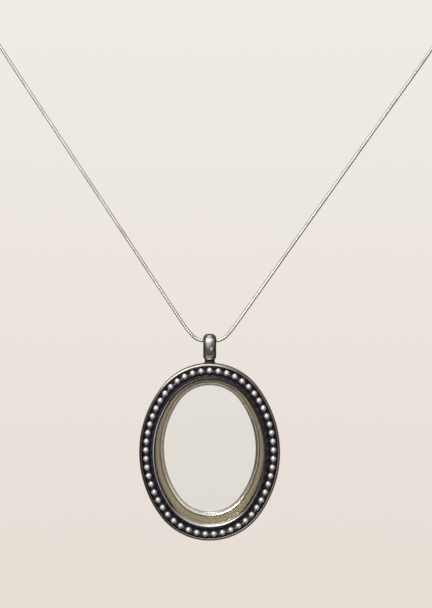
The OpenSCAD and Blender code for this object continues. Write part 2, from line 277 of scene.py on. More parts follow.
def finish_piece(bm, name, materials, body, nodes, sharp_angle=38):
    """Makes an object of a bmesh drawn in millimetres and puts it in the frame."""
    piece = add_object(name, smooth_mesh(bm, name, materials, sharp_angle))
    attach(piece, body)
    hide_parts(*nodes)


def baked_mesh(item, helpers):
    """The mesh that an object's modifiers make of it; the object and its helpers go."""
    bpy.context.view_layer.update()
    mesh = bpy.data.meshes.new_from_object(
        item.evaluated_get(bpy.context.evaluated_depsgraph_get()))
    for old in [item, *helpers]:
        bpy.data.objects.remove(old)
    return mesh


def round_off(bm, parts, reach, segments=4, affect="VERTICES"):
    """Rounds corners of a wire, or edges of a solid."""
    bmesh.ops.bevel(bm, geom=parts, offset=reach, offset_type="OFFSET", segments=segments,
                    profile=0.5, affect=affect, material=-1)


def spin(bm, parts, centre, axis, steps, angle=2 * math.pi):
    """Sweeps wires round an axis, closed when the turn is a whole one; returns their end."""
    return bmesh.ops.spin(bm, geom=parts, cent=centre, axis=axis, dvec=(0, 0, 0), angle=angle,
                          steps=steps, use_merge=angle == 2 * math.pi, use_normal_flip=False,
                          use_duplicate=False)["geom_last"]


def arc_points(centre, radius, start, end, steps, roundings=(0, 0)):
    """Points along an arc, its angles in degrees, with the rounding of the first and last."""
    points = []
    for i in range(steps + 1):
        turn = math.radians(start + (end - start) * i / steps)
        rounding = roundings[0] if i == 0 else roundings[1] if i == steps else 0
        points.append((centre[0] + radius * math.cos(turn),
                       centre[1] + radius * math.sin(turn), rounding))
    return points


def draw_section(bm, points):
    """Draws a closed wire; a point's third number, if it has one, rounds it off."""
    verts = [bm.verts.new((point[0], point[1], 0)) for point in points]
    for i, vert in enumerate(verts):
        bm.edges.new((verts[i - 1], vert))
    for vert, (_, _, *rounding) in zip(verts, points):
        if any(rounding):
            round_off(bm, [vert], rounding[0])


def place_section(bm, verts, place, side, axis):
    """Moves a section to a place, with its two directions along side and axis."""
    turn = Matrix((side, axis, side.cross(axis))).transposed().to_4x4()
    bmesh.ops.transform(bm, matrix=Matrix.Translation(place) @ turn, verts=verts)


def oval_ring(points, arc_steps):
    """Spins a section, drawn as inset and depth, round the four arcs of the oval."""
    bm = bmesh.new()
    draw_section(bm, points)
    radial = Vector((math.cos(SIDE_HALF_ANGLE), 0, -math.sin(SIDE_HALF_ANGLE)))
    side_centre, end_centre = SIDE_CENTRE * X_AXIS, END_CENTRE * Z_AXIS
    place_section(bm, bm.verts, SIDE_RADIUS * radial - side_centre, -radial, Y_AXIS)
    end_steps = round(arc_steps * END_STEPS_SHARE)
    wire = bm.verts[:] + bm.edges[:]
    for centre, half_angle, steps in ((-side_centre, SIDE_HALF_ANGLE, arc_steps),
                                      (end_centre, END_HALF_ANGLE, end_steps),
                                      (side_centre, SIDE_HALF_ANGLE, arc_steps),
                                      (-end_centre, END_HALF_ANGLE, end_steps)):
        wire = spin(bm, wire, centre, -Y_AXIS, steps, 2 * half_angle)
    bmesh.ops.remove_doubles(bm, verts=bm.verts, dist=MERGE_REACH)
    return bm


def inset_at(x, z):
    """How far a place lies inside the oval's outline.

    The arcs meet where 4 z = 3 (x + the side arc's centre), a side of a 3-4-5 triangle.
    """
    x, z = abs(x), abs(z)
    if 4 * z <= 3 * (x + SIDE_CENTRE):
        return SIDE_RADIUS - math.hypot(x + SIDE_CENTRE, z)
    return END_RADIUS - math.hypot(x, z - END_CENTRE)


def quarter_arcs(inset):
    """Lengths of the end arc and the side arc in a quarter of the oval at an inset."""
    return (END_RADIUS - inset) * END_HALF_ANGLE, (SIDE_RADIUS - inset) * SIDE_HALF_ANGLE


def place_on_oval(length, inset):
    """A place on the oval, clockwise from the top, at a length along it."""
    end_arc, side_arc = quarter_arcs(inset)
    quarter = end_arc + side_arc
    turn, rest = divmod(length, quarter)
    along = rest if turn % 2 == 0 else quarter - rest
    if along < end_arc:
        radius = END_RADIUS - inset
        angle = along / radius
        x, z = radius * math.sin(angle), END_CENTRE + radius * math.cos(angle)
    else:
        radius = SIDE_RADIUS - inset
        angle = SIDE_HALF_ANGLE - (along - end_arc) / radius
        x, z = radius * math.cos(angle) - SIDE_CENTRE, radius * math.sin(angle)
    return (x if turn < 2 else -x), (z if turn in (0, 3) else -z)


def paint_zones(bm, finishes, zones):
    """Gives each face the finish of the first zone of insets and depths that it lies in."""
    for face in bm.faces:
        middle = face.calc_center_median()
        inset = inset_at(middle.x, middle.z)
        face.material_index = next(
            finishes.index(finish) for finish, (outer, inner), (front, back) in zones
            if outer < inset < inner and front < middle.y < back)


def solid_of_revolution(bm, points, centre, axis, steps, closed=True):
    """Spins a section, drawn as radius and height, about an axis through a centre."""
    if closed:
        start = len(bm.verts)
        draw_section(bm, points)
        bm.verts.ensure_lookup_table()
        verts = bm.verts[start:]
        edges = [e for e in bm.edges if e.is_wire]
    else:
        verts = [bm.verts.new((a, b, 0)) for a, b in points]
        edges = [bm.edges.new(pair) for pair in zip(verts, verts[1:])]
    place_section(bm, verts, centre, axis.orthogonal().normalized(), axis)
    spin(bm, verts + edges, centre, axis, steps)


def hinge_tube(bm, low, high):
    """One length of the hinge, as a tube about the hinge's axis."""
    section = [(HINGE_INNER, low), (HINGE_OUTER, low, HINGE_ROUNDING),
               (HINGE_OUTER, high, HINGE_ROUNDING), (HINGE_INNER, high)]
    solid_of_revolution(bm, section, HINGE_AXIS, Z_AXIS, HINGE_STEPS)


def cutter(bm):
    close_up(bm)
    return add_object("cutter", mesh_from(bm, "cutter"))


def recess():
    """A cutter for the hinge's room at the seam."""
    middle = Vector((RECESS_INSET - (OVAL_WIDTH + RECESS_SIZE.x) / 2, SEAM_MIDDLE, 0))
    bm = bmesh.new()
    made = bmesh.ops.create_cube(bm, size=1)
    bmesh.ops.scale(bm, vec=RECESS_SIZE, verts=made["verts"])
    bmesh.ops.translate(bm, vec=middle + LOCKET_MIDDLE, verts=made["verts"])
    return cutter(bm)


def room(radius, low, high):
    """A cutter for round room about the hinge's axis, between two heights."""
    bm = bmesh.new()
    place = Matrix.Translation(HINGE_AXIS + Vector((0, 0, (low + high) / 2)))
    bmesh.ops.create_cone(bm, cap_ends=True, segments=ROOM_STEPS, radius1=radius,
                          radius2=radius, depth=high - low, matrix=place)
    return cutter(bm)


def cut_away(bm, cutters, finish_count):
    """Takes the cutters away from a closed shape and returns the rest."""
    bmesh.ops.recalc_face_normals(bm, faces=bm.faces)
    blank = add_object("blank", mesh_from(bm, "blank"))
    for _ in range(finish_count):
        blank.data.materials.append(None)
    for tool in cutters:
        cut = blank.modifiers.new(tool.name, "BOOLEAN")
        cut.operation = "DIFFERENCE"
        cut.solver = "EXACT"
        cut.object = tool
    result = baked_mesh(blank, cutters)
    bm = bmesh.new()
    bm.from_mesh(result)
    bpy.data.meshes.remove(result)
    return bm


def smooth_line(knots, steps):
    """A smooth curve through all knots but the first and the last, in steps between them."""
    line = []
    for a, b, c, d in zip(knots, knots[1:], knots[2:], knots[3:]):
        for k in range(steps):
            t = k / steps
            line.append(((2 * b) + (c - a) * t + (2 * a - 5 * b + 4 * c - d) * t * t
                         + (3 * b - a - 3 * c + d) * t ** 3) / 2)
    return line + [knots[-2]]


# Materials

NOISE_ROUGHNESS = 0.55
# The part of a noise's range where most of its values lie
NOISE_CORE = (0.35, 0.7)
# What the oval is multiplied by to count as round, seen from the front
ROUND_SHARES = (1, 0, 0.82)


def feed(tree, socket, value):
    """Gives an input a value, or links it to the output of another node."""
    if isinstance(value, bpy.types.NodeSocket):
        tree.links.new(value, socket)
    elif socket.type == "RGBA":
        socket.default_value = (*value, 1)
    else:
        socket.default_value = value


def fill(tree, node, inputs):
    for key, value in inputs.items():
        feed(tree, node.inputs[key], value)


def add_node(tree, kind, inputs, **settings):
    node = tree.nodes.new("ShaderNode" + kind)
    for key, value in settings.items():
        setattr(node, key, value)
    fill(tree, node, inputs)
    return node


def blank_material(name):
    """A material without nodes, new or used again, and its node tree."""
    material = bpy.data.materials.get(name) or bpy.data.materials.new(name)
    material.use_nodes = True
    material.node_tree.nodes.clear()
    return material, material.node_tree


def painted(name):
    """Turns a function that lists a shader's inputs into one that returns the material."""
    def wrap(list_inputs):
        def paint():
            material, tree = blank_material(name)
            shader = add_node(tree, "BsdfPrincipled", list_inputs(tree))
            add_node(tree, "OutputMaterial", {"Surface": shader.outputs["BSDF"]})
            return material
        return paint
    return wrap


def object_place(tree):
    """The place of a point; every piece has its origin at the frame's."""
    return add_node(tree, "TexCoord", {}).outputs["Object"]


def axes_of(tree, vector):
    return add_node(tree, "SeparateXYZ", {"Vector": vector}).outputs


def number_math(tree, operation, *values):
    return add_node(tree, "Math", dict(enumerate(values)), operation=operation).outputs[0]


def vector_math(tree, operation, *values):
    node = add_node(tree, "VectorMath", dict(enumerate(values)), operation=operation)
    return node.outputs["Value" if operation in ("LENGTH", "DOT_PRODUCT") else "Vector"]


def noise_at(tree, scale, detail):
    return add_node(tree, "TexNoise", {"Vector": object_place(tree), "Scale": scale,
                                       "Detail": detail, "Roughness": NOISE_ROUGHNESS}
                    ).outputs["Fac"]


def spread(tree, value, part, to=(0, 1)):
    """Stretches part of a value's range to another range."""
    return add_node(tree, "MapRange", {
        "Value": value, "From Min": part[0], "From Max": part[1], "To Min": to[0],
        "To Max": to[1]}).outputs["Result"]


def blend(tree, factor, first, second):
    """A colour between two colours; each is three numbers or an output."""
    node = add_node(tree, "Mix", {"Factor": factor}, data_type="RGBA")
    for socket, colour in zip([s for s in node.inputs if s.type == "RGBA"], (first, second)):
        feed(tree, socket, colour)
    return next(s for s in node.outputs if s.type == "RGBA")


def smears(tree, scale, to, part=NOISE_CORE):
    """A roughness that changes in soft patches."""
    return spread(tree, noise_at(tree, scale, detail=4), part, to)


def bump(tree, height, depth, strength):
    """A bumpy surface, its bumps as deep as a number of millimetres."""
    return add_node(tree, "Bump", {"Height": height, "Distance": depth * MM,
                                   "Strength": strength}).outputs["Normal"]


def grain(tree, scale, depth, strength):
    """A surface with fine bumps all over."""
    return bump(tree, noise_at(tree, scale, detail=2), depth, strength)


def ring_place(tree):
    """Direction and distance from the locket's middle, as if the oval were round."""
    offset = vector_math(tree, "SUBTRACT", object_place(tree), LOCKET_MIDDLE * MM)
    flat = vector_math(tree, "MULTIPLY", offset, ROUND_SHARES)
    return vector_math(tree, "NORMALIZE", flat), vector_math(tree, "LENGTH", flat)


def side_factor(tree, direction, part):
    """0 to 1 with how far a place lies to one side of the locket's middle."""
    way, _ = ring_place(tree)
    side = vector_math(tree, "DOT_PRODUCT", way, Vector(direction).normalized())
    return spread(tree, side, part)


def streak_noise(tree, along, across, detail=2):
    """Noise that is long round the ring and short across it."""
    way, distance = ring_place(tree)
    reach = number_math(tree, "MULTIPLY", distance, across)
    depth = axes_of(tree, object_place(tree))["Y"]
    return add_node(tree, "TexNoise", {
        "Vector": vector_math(tree, "MULTIPLY", way, (along, along, along)),
        "W": number_math(tree, "MULTIPLY_ADD", depth, across, reach),
        "Scale": 1, "Detail": detail}, noise_dimensions="4D").outputs["Fac"]


def chosen(name):
    """A colour from the panel."""
    return tuple(getattr(bpy.context.scene.locket_colours, name))


def shade(colour, red, green=None, blue=None):
    """A colour times a factor, or times one for each of its parts."""
    return tuple(c * (red if factor is None else factor)
                 for c, factor in zip(colour, (red, green, blue)))


def in_metres(*lengths):
    return tuple(length * MM for length in lengths)


def depths(front, back):
    """A range of depths behind the crest."""
    return in_metres(LOCKET_MIDDLE.y + front, LOCKET_MIDDLE.y + back)


# Black painted in as shade: the eyelet, its foot, the case's hinge lengths and the bail's edges
SHADE_BLACK = (0.022, 0.02, 0.018)
# Sides of the ring with painted light or shade: direction, part of the way there, and colour
PAINTED_LIGHT_BELOW = ((-0.2, 0, -1), (0.55, 0.92), (0.97, 0.93, 0.84))
PAINTED_SHADE_RIGHT = ((1, 0, 0.12), (0.7, 0.95), (0.05, 0.042, 0.034))
PAINTED_SHADE_TOP = ((0, 0, 1), (0.8, 0.97), (0.1, 0.085, 0.065))
# Painted highlights on the bail's front: middle and reach, across and up
PAINTED_HIGHLIGHTS = (((-0.3, -106.1), (0.42, 0.75)), ((-0.1, -109.75), (0.3, 0.14)),
              ((0.35, -107.6), (0.2, 0.3)))


@painted("blackened_steel")
def dark_steel(tree):
    """Blackened steel of the groove, with faint blue streaks along the ring."""
    base = chosen("dark_steel")
    bluish = shade(base, 1, 1.15, 1.5)
    streaks = spread(tree, streak_noise(tree, along=2.2, across=1100), (0.5, 0.75))
    return {"Base Color": blend(tree, streaks, base, bluish),
            "Metallic": 0.7, "Specular Tint": (0.16, 0.15, 0.19),
            "Roughness": smears(tree, scale=520, to=(0.2, 0.34)),
            "Normal": grain(tree, scale=2600, depth=0.004, strength=0.35)}


@painted("smoked_steel")
def rim_steel(tree):
    """Dark polished steel outside; in front it has a painted highlight at the top and painted
    shade on the left.
    """
    base = chosen("rim_steel")
    streaks = spread(tree, streak_noise(tree, along=3, across=900), (0.4, 0.7))
    dark = blend(tree, streaks, shade(base, 0.7), shade(base, 1.25))
    # Painted shade on the left and a painted highlight at the top, in front only
    left = side_factor(tree, (-1, 0, -0.25), (0.55, 0.9))
    top = side_factor(tree, (-0.2, 0, 1), (0.82, 0.97))
    front = blend(tree, top, blend(tree, left, dark, shade(base, 0.25)), (0.5, 0.48, 0.39))
    behind = spread(tree, axes_of(tree, object_place(tree))["Y"], depths(1.6, 2.9))
    return {"Base Color": blend(tree, behind, front, dark),
            "Metallic": 0.8, "Specular Tint": (0.3, 0.28, 0.27),
            "Roughness": smears(tree, scale=700, to=(0.14, 0.28)),
            "Normal": grain(tree, scale=3000, depth=0.004, strength=0.3)}


def turned(tree, colour, tint, rough, *painted_sides):
    """Satin steel with fine turning marks along the ring, and painted light or shade towards
    some sides.
    """
    marks = streak_noise(tree, along=3.5, across=9000, detail=3)
    shown = blend(tree, spread(tree, marks, (0.3, 0.7)), shade(colour, 0.86),
                  shade(colour, 1.06))
    # Each side gets its painted highlight or painted shade.
    for direction, part, painted_colour in painted_sides:
        shown = blend(tree, side_factor(tree, direction, part), shown, painted_colour)
    return {"Base Color": shown, "Metallic": 1, "Specular Tint": tint,
            "Roughness": spread(tree, marks, (0.3, 0.7), (rough, rough + 0.12)),
            "Normal": bump(tree, marks, depth=0.006, strength=0.3)}


@painted("satin_steel")
def wall_steel(tree):
    """The inner walls, olive as a painted reflection of warm surroundings in shade, with painted
    shade under the top.
    """
    return turned(tree, chosen("wall_steel"), (0.6, 0.54, 0.42), 0.24, PAINTED_SHADE_TOP)


@painted("deep_steel")
def deep_steel(tree):
    """Steel painted black as shade, for the eyelet, its foot and the case's hinge lengths."""
    return turned(tree, SHADE_BLACK, (0.25, 0.24, 0.22), 0.3)


@painted("ledge_steel")
def ledge_steel(tree):
    """The ledge under the back glass, olive as a painted reflection, with a cream painted
    highlight below.
    """
    return turned(tree, chosen("ledge_steel"), (0.9, 0.85, 0.75), 0.16, PAINTED_LIGHT_BELOW)


@painted("slope_steel")
def slope_steel(tree):
    """The slope inside the ledge, with the cream painted highlight below and painted shade on
    the right.
    """
    return turned(tree, chosen("ledge_steel"), (0.9, 0.85, 0.75), 0.16, PAINTED_LIGHT_BELOW, PAINTED_SHADE_RIGHT)


@painted("bright_steel")
def lip_steel(tree):
    """The crest: painted bright as a highlight on the left and below, painted dark on the upper
    right.
    """
    # The crest is painted bright as a highlight and painted dark towards the upper right.
    return turned(tree, chosen("lip_steel"), (1, 1, 1), 0.12,
                  ((0.5, 0, 0.87), (-0.3, 0.3), chosen("dark_steel")))


@painted("flank_steel")
def flank_steel(tree):
    """The crest's inner flank: painted dark, with a bright painted highlight below."""
    # Painted dark all round but for a painted highlight at the bottom.
    return turned(tree, chosen("lip_steel"), (1, 1, 1), 0.14,
                  ((0.05, 0, 1), (-0.97, -0.78), chosen("dark_steel")))


@painted("edge_steel")
def edge_steel(tree):
    """The outer edge of the groove, painted a little brighter than the groove as light on the
    edge.
    """
    return turned(tree, (0.36, 0.33, 0.31), (0.5, 0.48, 0.46), 0.2)


def highlight_spot(tree, middle, reach):
    """1 in the middle of an oval painted highlight on the bail's front, fading to 0 at twice its
    reach.
    """
    offset = vector_math(tree, "SUBTRACT", object_place(tree),
                         (middle[0] * MM, 0, middle[1] * MM))
    scaled = vector_math(tree, "MULTIPLY", offset,
                         (1 / (reach[0] * MM), 0, 1 / (reach[1] * MM)))
    return spread(tree, vector_math(tree, "LENGTH", scaled), (0.5, 2), (1, 0))


@painted("smoky_steel")
def bail_steel(tree):
    """Polished steel with painted highlights in front and painted shade at its top, foot and
    edges.
    """
    base = chosen("bail_steel")
    clouds = noise_at(tree, scale=1300, detail=4)
    tint = spread(tree, clouds, (0.35, 0.65))
    axes = axes_of(tree, object_place(tree))
    # Painted shade: brown and dark towards the foot, dark at the top and black along both edges.
    foot = spread(tree, axes["Z"], in_metres(-106.4, -107.8), (0, 0.9))
    shaded_cap = spread(tree, axes["Z"], in_metres(-105.6, -105.1), (0, 0.85))
    edges = spread(tree, number_math(tree, "ABSOLUTE", axes["X"]), in_metres(0.8, 1.2),
                   (0, 0.94))
    colour = blend(tree, foot, blend(tree, tint, shade(base, 0.42), shade(base, 0.62)),
                   blend(tree, tint, (0.1, 0.072, 0.06), shade(base, 0.36)))
    # Painted highlights on the front.
    for middle, reach in PAINTED_HIGHLIGHTS:
        colour = blend(tree, highlight_spot(tree, middle, reach), colour, shade(base, 1.35))
    colour = blend(tree, shaded_cap, colour, (0.1, 0.09, 0.075))
    return {"Base Color": blend(tree, edges, colour, SHADE_BLACK), "Metallic": 1,
            "Roughness": spread(tree, clouds, (0.35, 0.65), (0.16, 0.28)),
            "Normal": grain(tree, scale=5200, depth=0.004, strength=0.35)}


@painted("polished_silver")
def ball_silver(tree):
    """Polished silver that is darker where a ball sinks into the groove."""
    base = chosen("ball_silver")
    patches = noise_at(tree, scale=1600, detail=3)
    clean = blend(tree, spread(tree, patches, NOISE_CORE), base, shade(base, 0.82))
    sunk = spread(tree, axes_of(tree, object_place(tree))["Y"], depths(0.8, 1.3))
    return {"Base Color": blend(tree, sunk, clean, shade(base, 0.09)), "Metallic": 0.8,
            "Roughness": spread(tree, patches, NOISE_CORE, (0.3, 0.4)),
            "Coat Weight": 0.6, "Coat Roughness": 0.12, "Coat IOR": 1.9}


@painted("worn_silver")
def chain_silver(tree):
    """Worn silver, a little darker in patches."""
    base = chosen("chain_silver")
    worn = noise_at(tree, scale=260, detail=4)
    tint = spread(tree, worn, (0.35, 0.68))
    return {"Base Color": blend(tree, tint, base, shade(base, 0.72)),
            "Metallic": 1, "Specular Tint": (0.12, 0.11, 0.08),
            "Roughness": spread(tree, worn, (0.35, 0.68), (0.16, 0.3)),
            "Normal": grain(tree, scale=6000, depth=0.003, strength=0.3)}


@painted("plate_glass")
def plate_glass(tree):
    """Clear glass with a trace of smears."""
    return {"Base Color": (0.97, 0.985, 0.98), "Transmission Weight": 1, "IOR": 1.45,
            "Specular IOR Level": 0.3,
            "Roughness": smears(tree, scale=160, to=(0, 0.035), part=(0.45, 0.75))}


@painted("magnet_plate")
def magnet_plate(tree):
    """Nickel plating over the magnets."""
    clouds = noise_at(tree, scale=900, detail=3)
    return {"Base Color": blend(tree, clouds, (0.42, 0.41, 0.4), (0.55, 0.54, 0.52)),
            "Metallic": 1, "Roughness": spread(tree, clouds, (0.3, 0.7), (0.2, 0.35))}


# Operators

class LOCKET_OT_stage(bpy.types.Operator):
    """Makes the pale stage, the lights and the camera"""

    bl_idname = "locket.stage"
    bl_label = "Stage"

    def execute(self, context):
        self.backdrop()
        self.world(context)
        self.lights()
        self.camera(context)
        return {"FINISHED"}

    def backdrop(self):
        """A round floor that bends up into a wall, and the wall into a ceiling."""
        bm = bmesh.new()
        verts = [bm.verts.new((r, 0, z)) for r, z in BACKDROP_OUTLINE]
        for pair in zip(verts, verts[1:]):
            bm.edges.new(pair)
        for corner in verts[1:3]:
            round_off(bm, [corner], BACKDROP_ROUNDING, segments=16)
        spin(bm, bm.verts[:] + bm.edges[:], ORIGIN, Z_AXIS, BACKDROP_STEPS)
        bmesh.ops.remove_doubles(bm, verts=bm.verts, dist=BACKDROP_MERGE)
        mesh = mesh_from(bm, "backdrop")
        mesh.shade_smooth()
        mesh.materials.append(self.paper())
        stage = add_object("backdrop", mesh)
        # The metals reflect the studio, not the paper, as they do among dark flags.
        stage.visible_glossy = False
        stage.visible_shadow = False
        stage.visible_diffuse = False

    def paper(self):
        """Pale paper that glows instead of being lit, painted a trace warmer and darker towards
        the floor as shade.
        """
        material, tree = blank_material("backdrop_paper")
        base = chosen("backdrop")
        height = spread(tree, axes_of(tree, object_place(tree))["Z"], PAPER_HEIGHTS)
        colour = blend(tree, height, shade(base, *PAPER_LOW), shade(base, *PAPER_HIGH))
        glow = add_node(tree, "Emission", {"Color": colour})
        add_node(tree, "OutputMaterial", {"Surface": glow.outputs[0]})
        return material

    def world(self, context):
        """A studio for the metals: a soft bright front, dark flags and pale paper behind."""
        world = bpy.data.worlds.new("studio")
        context.scene.world = world
        world.use_nodes = True
        tree = world.node_tree
        way = add_node(tree, "TexCoord", {}).outputs["Generated"]
        ramp = add_node(tree, "ValToRGB",
                        {"Fac": vector_math(tree, "DOT_PRODUCT", way, STUDIO_FRONT)})
        elements = ramp.color_ramp.elements
        for position, _ in STUDIO_STOPS[2:]:
            elements.new(position)
        for element, (position, colour) in zip(elements, STUDIO_STOPS):
            element.position = position
            element.color = (*colour, 1)
        behind = spread(tree, axes_of(tree, way)["Y"], PAPER_EDGE)
        around = blend(tree, behind, ramp.outputs["Color"], PAPER_BEHIND)
        overhead = spread(tree, vector_math(tree, "DOT_PRODUCT", way, STUDIO_TOP), TOP_EDGE)
        fill(tree, tree.nodes["Background"], {
            "Color": blend(tree, overhead, around, TOP_GLOW), "Strength": STUDIO_STRENGTH})

    def lights(self):
        """Area lights that face the locket."""
        for name, place, width, height, power, colour in LIGHTS:
            light = bpy.data.lights.new(name, "AREA")
            light.shape = "RECTANGLE"
            light.size, light.size_y = width, height
            light.energy = power
            light.color = colour
            lamp = add_object(name, light)
            lamp.location = place
            lamp.rotation_mode = "QUATERNION"
            away = Vector(place) - LOCKET_MIDDLE * MM
            lamp.rotation_quaternion = away.to_track_quat("Z", "Y")

    def camera(self, context):
        lens = bpy.data.cameras.new("front_camera")
        lens.lens = CAMERA_LENS
        lens.sensor_width = CAMERA_SENSOR
        lens.clip_start, lens.clip_end = CAMERA_RANGE
        camera = add_object("front_camera", lens)
        camera.location = CAMERA_PLACE
        camera.rotation_euler = (math.pi / 2, 0, 0)
        context.scene.camera = camera
        context.scene.view_settings.view_transform = "Standard"


class LOCKET_OT_chain(bpy.types.Operator):
    """Makes the snake chain, link by link along its route"""

    bl_idname = "locket.chain"
    bl_label = "Chain"

    route_steps = 8
    # A link's section as shares of its radius and pitch, and the scales of its edge
    link_section = ((0.88, 0), (1, 0.34), (0.97, 0.8), (0.84, 0.97))
    link_sides = 12
    scales = 3
    scale_reach = 0.1
    scaled_from = 0.93

    def route(self):
        """The chain's middle line, with a knot beyond each end to guide the curve."""
        knots = [Vector(place) for place in CHAIN_ROUTE]
        before, after = 2 * knots[0] - knots[1], 2 * knots[-1] - knots[-2]
        return smooth_line([before, *knots, after], self.route_steps)

    def link(self, pitch, radius):
        """One link: a short collar whose edge runs in scales round the chain."""
        bm = bmesh.new()
        section = [(radius * across, pitch * along) for across, along in self.link_section]
        solid_of_revolution(bm, section, ORIGIN, X_AXIS, self.link_sides)
        for vert in bm.verts:
            if math.hypot(vert.co.y, vert.co.z) / radius > self.scaled_from:
                wave = math.cos(self.scales * math.atan2(vert.co.z, vert.co.y))
                vert.co.x += self.scale_reach * pitch * wave
        return smooth_mesh(bm, "link", [chain_silver()], sharp_angle=50)

    def execute(self, context):
        sizes = context.scene.locket_sizes
        path = self.route()
        length = sum((b - a).length for a, b in zip(path, path[1:]))
        count = round(length * MM / sizes.link_pitch)
        pitch = length / count
        line = bpy.data.curves.new("chain_line", "CURVE")
        line.dimensions = "3D"
        line.twist_mode = "MINIMUM"
        spline = line.splines.new("POLY")
        spline.points.add(len(path) - 1)
        for point, place in zip(spline.points, path):
            point.co = (*(place * MM), 1)
        route = add_object("chain_line", line)
        row = add_object("chain_row", self.link(pitch, sizes.chain_diameter / MM / 2))
        repeat = row.modifiers.new("repeat", "ARRAY")
        repeat.count = count
        repeat.use_relative_offset = False
        repeat.use_constant_offset = True
        repeat.constant_offset_displace = (pitch * MM, 0, 0)
        bend = row.modifiers.new("bend", "CURVE")
        bend.object = route
        bend.deform_axis = "POS_X"
        mesh = baked_mesh(row, [route])
        mesh.name = "chain_links"
        piece = add_object("chain_links", mesh)
        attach(piece, "necklace")
        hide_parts("chain")
        return {"FINISHED"}


class LOCKET_OT_clasp(bpy.types.Operator):
    """Makes the turned barrel clasp at the nape"""

    bl_idname = "locket.clasp"
    bl_label = "Clasp"

    def execute(self, context):
        bm = bmesh.new()
        section = CLASP_HALF + [(radius, -x) for radius, x in reversed(CLASP_HALF)]
        solid_of_revolution(bm, section, ORIGIN, X_AXIS, ROUND_STEPS, closed=False)
        finish_piece(bm, "clasp_barrel", [chain_silver()], "necklace", ["clasp"])
        return {"FINISHED"}


class LOCKET_OT_bail(bpy.types.Operator):
    """Makes the domed, tapered bail"""

    bl_idname = "locket.bail"
    bl_label = "Bail"

    top_radius, top_z = 0.75, -0.2
    low_radius = 0.4
    row_steps, leg_steps = 4, 6
    # Share of the wall left at the band's edges, share of the crown that is hollow behind,
    # and how flat the crown and the wall run before they fall off
    edge_share, hollow = 0.55, 0.9
    crown_power, wall_power = 3.4, 8
    # Places across the band, outside as angles in degrees and inside as shares
    outer_angles = (-90, -84, -77, -68, -57, -45, -33, -20, -7,
                    7, 20, 33, 45, 57, 68, 77, 84, 90)
    inner_shares = (0.975, 0.9, 0.75, 0.5, 0.18, -0.18, -0.5, -0.75, -0.9, -0.975)

    def rows(self, table):
        """Rows between those of a table, on a smooth curve but with even turns."""
        knots = [Vector(row) for row in (table[0], *table, table[-1])]
        rows = smooth_line(knots, self.row_steps)
        for number, row in enumerate(rows[:-1]):
            first, step = divmod(number, self.row_steps)
            turn, next_turn = table[first][0], table[first + 1][0]
            row.x = turn + (next_turn - turn) * step / self.row_steps
        return rows

    def ring(self, row, radius, z, half_width):
        """The places of one section of the band, outer side first."""
        turn, share, crown, wall = row
        turn = math.radians(turn)
        out = Vector((0, -math.sin(turn), math.cos(turn)))
        centre = CHAIN_LOW + z * Z_AXIS
        places = []
        for s in [math.sin(math.radians(angle)) for angle in self.outer_angles]:
            rounding = math.sqrt(max(0, 1 - abs(s) ** self.wall_power))
            thickness = wall * (self.edge_share + (1 - self.edge_share) * rounding)
            places.append((s, thickness + crown * (1 - abs(s) ** self.crown_power)))
        for s in self.inner_shares:
            places.append((s, self.hollow * (crown * (1 - abs(s) ** self.crown_power))))
        return [centre + Vector((s * share * half_width, 0, 0)) + (radius + rise) * out
                for s, rise in places]

    def rings(self, half_width):
        """All sections: from the top down the front leg, round the low end and up behind."""
        low_z = EYELET_MIDDLE.z + EYELET_RADIUS - CHAIN_LOW.z
        front = [self.ring(row, self.top_radius, self.top_z, half_width)
                 for row in self.rows(BAIL_TOP_ROWS)]
        low = [self.ring(row, self.low_radius, low_z, half_width)
               for row in self.rows(BAIL_LOW_ROWS)]
        front += [[a.lerp(b, k / self.leg_steps) for a, b in zip(front[-1], low[0])]
                  for k in range(1, self.leg_steps)]
        front += low
        back = [[Vector((p.x, 2 * CHAIN_LOW.y - p.y, p.z)) for p in ring]
                for ring in front[-2:0:-1]]
        return front + back

    def execute(self, context):
        rings = self.rings(context.scene.locket_sizes.bail_width / MM / 2)
        bm = bmesh.new()
        verts = [bm.verts.new(p) for p in rings[0]]
        first = edges = [bm.edges.new((verts[i - 1], verts[i])) for i in range(len(verts))]
        # Each ring is extruded from the one before, and its points go to their places.
        for ring in rings[1:]:
            made = bmesh.ops.extrude_edge_only(bm, edges=edges)["geom"]
            grown = {v for v in made if isinstance(v, bmesh.types.BMVert)}
            partner = {e.other_vert(v): v for v in grown for e in v.link_edges
                       if e.other_vert(v) not in grown}
            verts = [partner[v] for v in verts]
            for vert, place in zip(verts, ring):
                vert.co = place
            edges = [e for e in made if isinstance(e, bmesh.types.BMEdge)
                     and e.verts[0] in grown and e.verts[1] in grown]
        bmesh.ops.bridge_loops(bm, edges=edges + first)
        finish_piece(bm, "bail_band", [bail_steel()], "hanger", ["bail"],
                     sharp_angle=60)
        return {"FINISHED"}


class RimHalf:
    """What the two halves of the rim share. Each has tables of its own:

    section: points as inset, depth and, where a corner is rounded, its rounding
    finishes: the piece's materials; its hinge lengths wear the first
    zones: finish, insets and depths; for each face the first zone that fits counts
    rooms: round room about the hinge's axis, as radius and two heights
    lengths: its own lengths of the hinge, each as two heights
    """

    def rim(self, context):
        bm = oval_ring(self.section, context.scene.locket_sizes.arc_steps)
        paint_zones(bm, self.finishes, self.zones)
        bmesh.ops.translate(bm, vec=LOCKET_MIDDLE, verts=bm.verts)
        cutters = [recess()] + [room(*numbers) for numbers in self.rooms]
        bm = cut_away(bm, cutters, len(self.finishes))
        for low, high in self.lengths:
            hinge_tube(bm, low, high)
        return bm

    def materials(self):
        return [paint() for paint in self.finishes]


